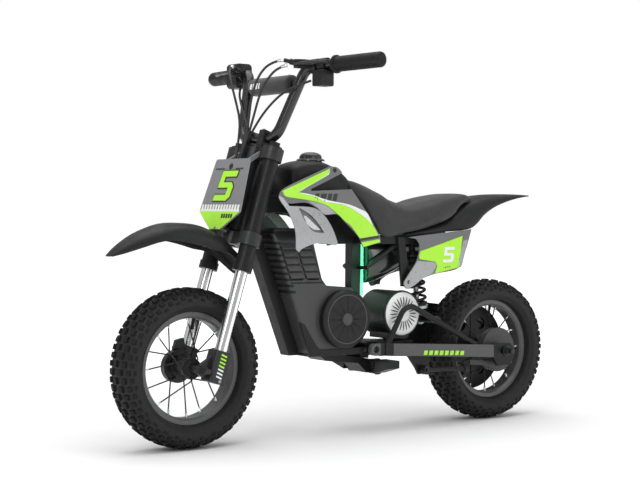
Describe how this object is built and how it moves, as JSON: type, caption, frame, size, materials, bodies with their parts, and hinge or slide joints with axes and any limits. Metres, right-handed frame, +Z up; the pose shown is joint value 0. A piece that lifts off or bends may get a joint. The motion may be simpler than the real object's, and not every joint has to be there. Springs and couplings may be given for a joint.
{
  "type": "electric ride-on dirt bike",
  "caption": "Child's electric dirt bike: spoked wheels on knobbly tyres, sprung fork and swingarm, chain drive, padded seat, grey panels with lime and white flashes, black mudguards.",
  "frame": {"origin": "on the ground, midway between the rear tyre's back and the front mudguard's tip, on the centre plane", "axes": "+X forward, +Y the rider's left, +Z up"},
  "size_m": [1.144, 0.6006, 0.786],
  "materials": {
    "frame_black": "satin black powder coat",
    "black_plastic": "moulded, slightly grained",
    "gloss_black": "glossy moulding",
    "lime_plastic": "printed lime sheet on a moulding",
    "white_plastic": "glossy moulding",
    "silver_plastic": "metallic painted moulding",
    "panel_grey": "grey moulding",
    "plate_grey": "printed sheet",
    "seat_cover": "vinyl over foam",
    "tyre_rubber": "knobbly tread",
    "soft_rubber": "ribbed grip rubber",
    "pad_foam": "foam sleeve",
    "chrome_tube": "hard chrome",
    "bar_metal": "gloss black steel tube",
    "alloy": "cast and machined",
    "dark_alloy": "anodised",
    "rim_alloy": "black rim",
    "spoke_steel": "plated wire",
    "zinc_steel": "plated",
    "chain_steel": "oiled chain",
    "spring_paint": "painted spring",
    "led_tube": "lit tube",
    "cable_jacket": "cable sheath"
  },
  "bodies": {
    "frame": {"head_tube": "frame_black", "backbone": "frame_black", "centre_post": "frame_black", "cradle": "frame_black", "battery_pack": "black_plastic", "controller": "dark_alloy", "battery_cover_left": "black_plastic", "battery_cover_right": "black_plastic", "round_covers": "black_plastic", "tank_cover": "black_plastic", "shroud_left": "panel_grey", "shroud_right": "panel_grey", "air_scoops": "silver_plastic", "seat_cushion": "seat_cover", "rear_mudguard": "black_plastic", "side_panels": "panel_grey", "light_strips": "led_tube", "controller_housing": "gloss_black"},
    "cap": {"tank_cap": "gloss_black"},
    "steering": {"steering_stem": "dark_alloy", "upper_clamp": "dark_alloy", "fork_legs": "frame_black", "handlebar": "bar_metal", "crossbar_pad": "pad_foam", "left_grip": "soft_rubber", "lever_perches": "black_plastic", "throttle_housing": "black_plastic", "switch_box": "black_plastic", "control_cables": "cable_jacket", "number_plate": "plate_grey", "front_mudguard": "black_plastic"},
    "throttle": {"throttle_grip": "soft_rubber"},
    "lever_left": {"brake_lever_left": "dark_alloy"},
    "lever_right": {"brake_lever_right": "dark_alloy"},
    "fork_lower": {"fork_stanchions": "chrome_tube", "fork_feet": "dark_alloy", "front_axle": "zinc_steel", "front_brake_plate": "dark_alloy"},
    "front_wheel": {"front_hub": "dark_alloy", "front_rim": "rim_alloy", "front_tyre": "tyre_rubber", "front_spokes": "spoke_steel"},
    "rear_arm": {"swingarm": "frame_black", "rear_axle": "zinc_steel", "rear_brake_plate": "dark_alloy", "motor": "dark_alloy", "drive_chain": "chain_steel", "chain_guard": "black_plastic"},
    "rear_wheel": {"rear_hub": "dark_alloy", "rear_rim": "rim_alloy", "rear_tyre": "tyre_rubber", "rear_spokes": "spoke_steel", "rear_sprocket": "dark_alloy"},
    "motor_drive": {"motor_sprocket": "zinc_steel"},
    "shock_tube": {"shock_body": "dark_alloy", "shock_spring": "spring_paint"},
    "shock_rod": {"shock_shaft": "zinc_steel"},
    "rest_left": {"foot_rest_left": "frame_black"},
    "rest_right": {"foot_rest_right": "frame_black"},
    "stand": {"side_stand": "frame_black"}
  },
  "joints": [
    {"name": "steering_turn", "type": "hinge", "parent": "frame", "child": "steering", "pos_m": [0.36431, 0, 0.15123], "axis": [-0.2924, 0, 0.9563], "range_deg": [-30, 30]},
    {"name": "fork_slide", "type": "slide", "parent": "steering", "child": "fork_lower", "axis": [-0.2924, 0, 0.9563], "range_m": [0, 0.035], "stiffness_N_per_m": 7000, "springref_m": -0.025},
    {"name": "front_wheel_spin", "type": "hinge", "parent": "fork_lower", "child": "front_wheel", "pos_m": [0.393, 0, 0.16], "axis": [0, 1, 0], "continuous": true},
    {"name": "rear_arm_swing", "type": "hinge", "parent": "frame", "child": "rear_arm", "pos_m": [-0.043, 0, 0.18], "axis": [0, 1, 0], "range_deg": [0, 5.5], "stiffness_Nm_per_rad": 320, "springref_deg": -14.32},
    {"name": "rear_wheel_spin", "type": "hinge", "parent": "rear_arm", "child": "rear_wheel", "pos_m": [-0.412, 0, 0.16], "axis": [0, 1, 0], "continuous": true},
    {"name": "motor_spin", "type": "hinge", "parent": "rear_arm", "child": "motor_drive", "pos_m": [-0.125, 0, 0.252], "axis": [0, 1, 0], "continuous": true},
    {"name": "shock_swing", "type": "hinge", "parent": "frame", "child": "shock_tube", "pos_m": [-0.19, 0, 0.405], "axis": [0, 1, 0], "range_deg": [-1.6, 0.1]},
    {"name": "shock_stroke", "type": "slide", "parent": "shock_tube", "child": "shock_rod", "axis": [0.1291, 0, 0.9916], "range_m": [0, 0.018], "deforming": ["shock_spring"]},
    {"name": "throttle_twist", "type": "hinge", "parent": "steering", "child": "throttle", "pos_m": [0.15171, -0.238, 0.76281], "axis": [-0.1815, -0.9832, 0.0202], "range_deg": [0, 60], "stiffness_Nm_per_rad": 0.15, "springref_deg": -17.19},
    {"name": "brake_lever_left_pull", "type": "hinge", "parent": "steering", "child": "lever_left", "pos_m": [0.211, 0.118, 0.764], "axis": [0, 0, 1], "range_deg": [0, 11], "stiffness_Nm_per_rad": 0.6, "springref_deg": -11.46},
    {"name": "brake_lever_right_pull", "type": "hinge", "parent": "steering", "child": "lever_right", "pos_m": [0.211, -0.118, 0.764], "axis": [0, 0, -1], "range_deg": [0, 11], "stiffness_Nm_per_rad": 0.6, "springref_deg": -11.46},
    {"name": "foot_rest_left_fold", "type": "hinge", "parent": "frame", "child": "rest_left", "pos_m": [-0.06, 0.044, 0.141], "axis": [0, 0, 1], "range_deg": [0, 78], "stiffness_Nm_per_rad": 0.4, "springref_deg": -14.32},
    {"name": "foot_rest_right_fold", "type": "hinge", "parent": "frame", "child": "rest_right", "pos_m": [-0.06, -0.044, 0.141], "axis": [0, 0, -1], "range_deg": [0, 78], "stiffness_Nm_per_rad": 0.4, "springref_deg": -14.32},
    {"name": "side_stand_swing", "type": "hinge", "parent": "rear_arm", "child": "stand", "pos_m": [-0.168, 0.0752, 0.13], "axis": [0.2079, -0.9781, 0], "range_deg": [0, 95]},
    {"name": "cap_turn", "type": "hinge", "parent": "frame", "child": "cap", "pos_m": [0.09, 0, 0.588], "axis": [0, 0, 1], "range_deg": [0, 90]}
  ],
  "couplings": [
    {"joint": "motor_spin", "follows": "rear_wheel_spin", "ratio": 3.8571},
    {"joint": "shock_swing", "follows": "rear_arm_swing", "ratio": -0.27328},
    {"joint": "shock_stroke", "follows": "rear_arm_swing", "m_per_rad": 0.17238}
  ]
}
